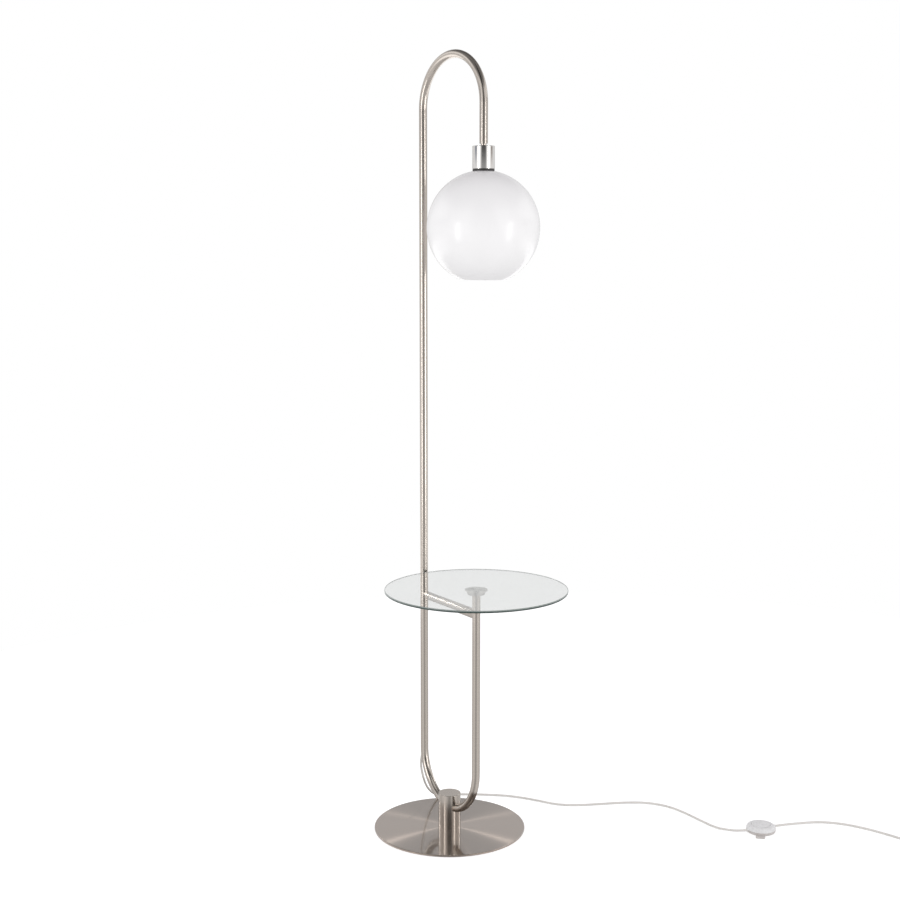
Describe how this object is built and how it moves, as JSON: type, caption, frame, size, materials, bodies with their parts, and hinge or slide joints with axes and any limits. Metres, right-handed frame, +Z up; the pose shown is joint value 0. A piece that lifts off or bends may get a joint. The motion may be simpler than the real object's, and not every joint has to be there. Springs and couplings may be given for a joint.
{
  "type": "shelf floor lamp",
  "caption": "Floor lamp on a round plate: a bent tube pole with a round glass shelf at table height, an arch at the top and a hanging opal globe; foot switch on its lead.",
  "frame": {"origin": "middle of the round base, on the floor", "axes": "+Z up; +X from the pole towards the leg that carries the shelf; +Y to the left of +X"},
  "size_m": [0.8153, 1.0523, 1.6499],
  "materials": {
    "satin_nickel": "satin, brushed",
    "polished_nickel": "polished",
    "plain_steel": "zinc plated",
    "brass": "plain",
    "felt": "pressed felt",
    "clear_glass": "clear, ground edge",
    "opal_glass": "opal white, satin",
    "frosted_glass": "frosted",
    "bulb_metal": "plain",
    "holder_plastic": "matt",
    "insulator": "moulded, unglazed",
    "clear_plastic": "clear, soft",
    "switch_plastic": "clear, smoky white",
    "spring_steel": "drawn wire",
    "dark_rubber": "moulded, matt"
  },
  "bodies": {
    "lamp": {"base_plate": "satin_nickel", "base_felt": "felt", "base_post": "satin_nickel", "post_screws": "plain_steel", "post_grub_screws": "plain_steel", "pole_foot_tube": "satin_nickel", "shelf_leg_tube": "satin_nickel", "brace_bar": "satin_nickel", "leg_insert": "plain_steel", "shelf_flange": "satin_nickel", "glass_shelf": "clear_glass", "pole_lower_tube": "satin_nickel", "pole_upper_tube": "satin_nickel", "pole_couplers": "plain_steel", "arch_tube": "satin_nickel", "drop_plug": "plain_steel", "neck_nipple": "plain_steel", "neck_collar": "satin_nickel", "socket_cup": "polished_nickel", "shade_gasket": "dark_rubber", "cup_nut": "brass", "lampholder_cap": "holder_plastic", "lampholder_skirt": "holder_plastic", "contact_block": "insulator", "screw_shell": "brass", "centre_contact": "brass", "shade_ring": "holder_plastic", "globe_shade": "opal_glass", "bulb_glass": "frosted_glass", "bulb_cap": "bulb_metal", "inner_lead": "clear_plastic", "cord_relief": "clear_plastic", "switch_cord": "clear_plastic", "switch_base": "switch_plastic", "switch_cover": "switch_plastic", "button_spring": "spring_steel", "switch_block": "holder_plastic", "switch_screws": "plain_steel", "plug_cord": "clear_plastic", "cord_coil": "clear_plastic", "coil_tie": "holder_plastic", "plug_body": "clear_plastic", "plug_blades": "brass"},
    "button": {"foot_button": "switch_plastic"}
  },
  "joints": [
    {"name": "foot_press", "type": "slide", "parent": "lamp", "child": "button", "axis": [0, 0, -1], "range_m": [0, 0.003], "stiffness_N_per_m": 600, "springref_m": -0.003, "deforming": ["button_spring"]}
  ]
}
